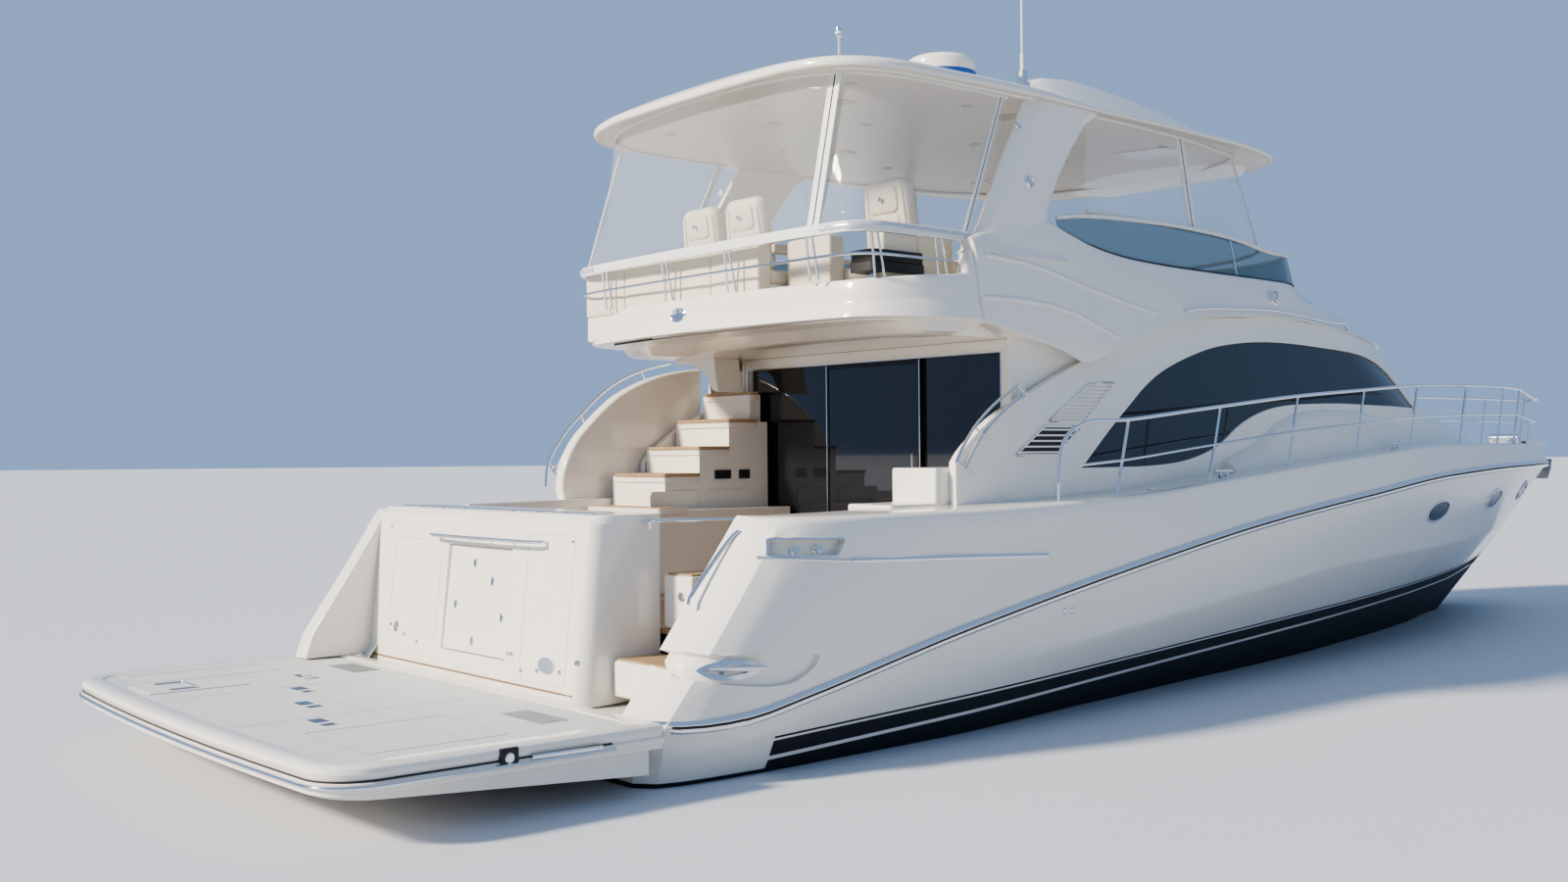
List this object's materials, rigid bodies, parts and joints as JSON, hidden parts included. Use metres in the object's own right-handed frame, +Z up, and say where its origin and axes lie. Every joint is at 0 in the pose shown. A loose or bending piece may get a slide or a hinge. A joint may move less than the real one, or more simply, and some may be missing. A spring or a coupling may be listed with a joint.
{
  "type": "flybridge motor yacht",
  "caption": "Flybridge motor yacht afloat: planing hull, swim platform, glazed saloon, bridge with hardtop and clear curtains, bow rail, propellers and rudders.",
  "frame": {"origin": "on the centreline amidships, at the waterline", "axes": "+X to starboard, +Y to the bow, +Z up"},
  "size_m": [4.978, 19.68, 8.8355],
  "materials": {
    "gelcoat": "cream white polished gelcoat",
    "steel": "polished stainless steel",
    "galvanised": "galvanised",
    "dark_glass": "near black tinted glass",
    "teak": "laid planks, satin",
    "upholstery": "cream vinyl upholstery",
    "tinted_screen": "blue green tinted acrylic",
    "clear_vinyl": "clear flexible vinyl",
    "black_trim": "soft black",
    "bronze": "cast bronze",
    "engine_paint": "white engine enamel"
  },
  "bodies": {
    "yacht": {"hull": "gelcoat", "deck": "gelcoat", "rub_rail": "steel", "swim_platform": "gelcoat", "transom_module": "gelcoat", "transom_rail": "steel", "cockpit_sole": "teak", "saloon_sole": "teak", "cockpit_stairs": "gelcoat", "stair_wing": "gelcoat", "side_steps": "gelcoat", "house": "gelcoat", "side_glass_stbd": "dark_glass", "side_glass_port": "dark_glass", "windscreen": "dark_glass", "aft_bulkhead": "gelcoat", "fixed_pane_port": "dark_glass", "fixed_pane_stbd": "dark_glass", "saloon_sofa": "upholstery", "galley_unit": "gelcoat", "lower_helm": "upholstery", "flybridge": "gelcoat", "bridge_windscreen": "tinted_screen", "helm_console": "gelcoat", "helm_seat_port": "upholstery", "helm_seat_centre": "upholstery", "helm_seat_stbd": "upholstery", "bridge_lounge": "upholstery", "bridge_settee": "upholstery", "bridge_rail": "steel", "hardtop": "gelcoat", "arch_leg_stbd": "gelcoat", "arch_leg_port": "gelcoat", "curtain_aft": "clear_vinyl", "curtain_fore": "clear_vinyl", "radar_dome": "gelcoat", "mast_light": "steel", "antenna_base": "steel", "bow_rail": "steel", "windlass": "steel", "anchor_roller": "steel", "anchor": "galvanised", "engine_stbd": "engine_paint", "engine_port": "engine_paint", "shaft_strut_stbd": "bronze", "shaft_strut_port": "bronze"},
    "door": {"sliding_door": "steel", "door_glass": "dark_glass"},
    "transom_lid": {"transom_lid": "gelcoat"},
    "ladder_lid": {"ladder_lid": "gelcoat"},
    "anchor_locker_lid": {"anchor_locker_lid": "gelcoat"},
    "foredeck_hatch": {"foredeck_hatch": "tinted_screen"},
    "whip_antenna": {"whip_antenna": "gelcoat"},
    "helm_wheel": {"helm_wheel": "black_trim"},
    "propeller_stbd": {"propeller_stbd": "bronze"},
    "propeller_port": {"propeller_port": "bronze"},
    "rudder_stbd": {"rudder_stbd": "bronze"},
    "rudder_port": {"rudder_port": "bronze"},
    "trim_tab_stbd": {"trim_tab_stbd": "steel"},
    "trim_tab_port": {"trim_tab_port": "steel"}
  },
  "joints": [
    {"name": "door_slide", "type": "slide", "parent": "yacht", "child": "door", "axis": [-1, 0, 0], "range_m": [0, 1.07]},
    {"name": "transom_lid_hinge", "type": "hinge", "parent": "yacht", "child": "transom_lid", "pos_m": [-0.28, -7.395, 0.608], "axis": [1, 0, 0], "range_deg": [0, 95]},
    {"name": "ladder_lid_hinge", "type": "hinge", "parent": "yacht", "child": "ladder_lid", "pos_m": [-1.26, -8.764, 0.452], "axis": [-1, 0, 0], "range_deg": [0, 100]},
    {"name": "anchor_locker_hinge", "type": "hinge", "parent": "yacht", "child": "anchor_locker_lid", "pos_m": [0, 7.904, 2.127], "axis": [1, 0, 0], "range_deg": [0, 95]},
    {"name": "foredeck_hatch_hinge", "type": "hinge", "parent": "yacht", "child": "foredeck_hatch", "pos_m": [0, 5.862, 2.28], "axis": [-1, 0, 0], "range_deg": [0, 80]},
    {"name": "antenna_fold", "type": "hinge", "parent": "yacht", "child": "whip_antenna", "pos_m": [1.5, -3.25, 5.19], "axis": [1, 0, 0], "range_deg": [0, 85]},
    {"name": "helm_steering", "type": "hinge", "parent": "yacht", "child": "helm_wheel", "pos_m": [0.95, -3.13, 3.64], "axis": [0, 0.8674, -0.4976], "range_deg": [-525, 525]},
    {"name": "propeller_stbd_spin", "type": "hinge", "parent": "yacht", "child": "propeller_stbd", "pos_m": [0.85, -6.45, -0.95], "axis": [0, 0.9838, 0.179], "continuous": true},
    {"name": "propeller_port_spin", "type": "hinge", "parent": "yacht", "child": "propeller_port", "pos_m": [-0.85, -6.45, -0.95], "axis": [0, 0.9838, 0.179], "continuous": true},
    {"name": "rudder_stbd_turn", "type": "hinge", "parent": "yacht", "child": "rudder_stbd", "pos_m": [0.85, -6.99, -0.9], "axis": [0, 0, 1], "range_deg": [-35, 35]},
    {"name": "rudder_port_turn", "type": "hinge", "parent": "yacht", "child": "rudder_port", "pos_m": [-0.85, -6.99, -0.9], "axis": [0, 0, 1], "range_deg": [-35, 35]},
    {"name": "trim_tab_stbd_tilt", "type": "hinge", "parent": "yacht", "child": "trim_tab_stbd", "pos_m": [1.33, -7.5004, -0.25], "axis": [0.9544, 0, 0.2984], "range_deg": [0, 20]},
    {"name": "trim_tab_port_tilt", "type": "hinge", "parent": "yacht", "child": "trim_tab_port", "pos_m": [-1.33, -7.5004, -0.25], "axis": [0.9544, 0, -0.2984], "range_deg": [0, 20]}
  ],
  "couplings": [
    {"joint": "rudder_stbd_turn", "follows": "rudder_port_turn", "ratio": 1},
    {"joint": "helm_steering", "follows": "rudder_port_turn", "ratio": 15}
  ]
}
